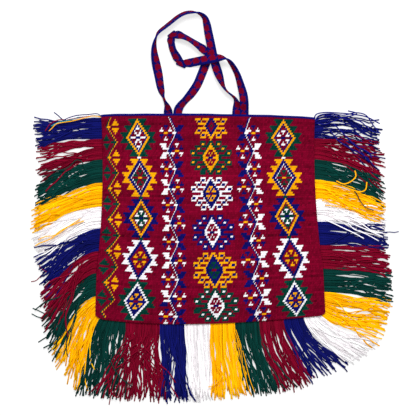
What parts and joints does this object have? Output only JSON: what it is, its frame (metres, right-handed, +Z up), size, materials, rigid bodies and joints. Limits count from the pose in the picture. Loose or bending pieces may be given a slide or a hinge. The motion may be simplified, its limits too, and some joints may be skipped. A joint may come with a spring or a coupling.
{
  "type": "fringed woven handbag",
  "caption": "Flat handwoven wool handbag laid on its back, with geometric motif bands, a multicoloured fringe along the sides and hem, and woven handles lying folded above the mouth.",
  "frame": {"origin": "under the middle of the whole bag's box, fringe and handles included, on the surface it lies on", "axes": "+X to the right across the front, +Y along the bag from the hem to the mouth and the handles, +Z up out of the patterned front"},
  "size_m": [0.5404, 0.5882, 0.0234],
  "materials": {
    "crimson_wool": "wrapped wool weave, matt",
    "navy_wool": "whipped wool yarn, matt",
    "handle_weave": "narrow wool weave, crimson with a navy border and navy marks",
    "blue_wool": "loose wool yarn, matt",
    "green_wool": "loose wool yarn, matt",
    "yellow_wool": "loose wool yarn, matt",
    "white_wool": "loose wool yarn, matt"
  },
  "bodies": {
    "root": {"back_handle": "handle_weave", "back_mouth_edging": "navy_wool", "back_panel": "crimson_wool", "fringe_hem_1_green": "green_wool", "fringe_hem_2_red": "crimson_wool", "fringe_hem_3_blue": "blue_wool", "fringe_hem_4_white": "white_wool", "fringe_hem_5_yellow": "yellow_wool", "fringe_hem_6_green": "green_wool", "fringe_hem_7_red": "crimson_wool", "fringe_hem_8_blue": "blue_wool", "fringe_hem_9_white": "white_wool", "fringe_left_1_blue": "blue_wool", "fringe_left_2_red": "crimson_wool", "fringe_left_3_green": "green_wool", "fringe_left_4_yellow": "yellow_wool", "fringe_left_5_white": "white_wool", "fringe_left_6_blue": "blue_wool", "fringe_left_7_red": "crimson_wool", "fringe_left_8_green": "green_wool", "fringe_left_9_yellow": "yellow_wool", "fringe_right_1_yellow": "yellow_wool", "fringe_right_2_green": "green_wool", "fringe_right_3_red": "crimson_wool", "fringe_right_4_blue": "blue_wool", "fringe_right_5_white": "white_wool", "fringe_right_6_yellow": "yellow_wool", "fringe_right_7_green": "green_wool", "fringe_right_8_red": "crimson_wool", "fringe_right_9_blue": "blue_wool", "front_handle": "handle_weave", "front_mouth_edging": "navy_wool", "front_panel": "crimson_wool", "hem_seam": "navy_wool", "left_side_seam": "navy_wool", "right_side_seam": "navy_wool"}
  },
  "joints": []
}
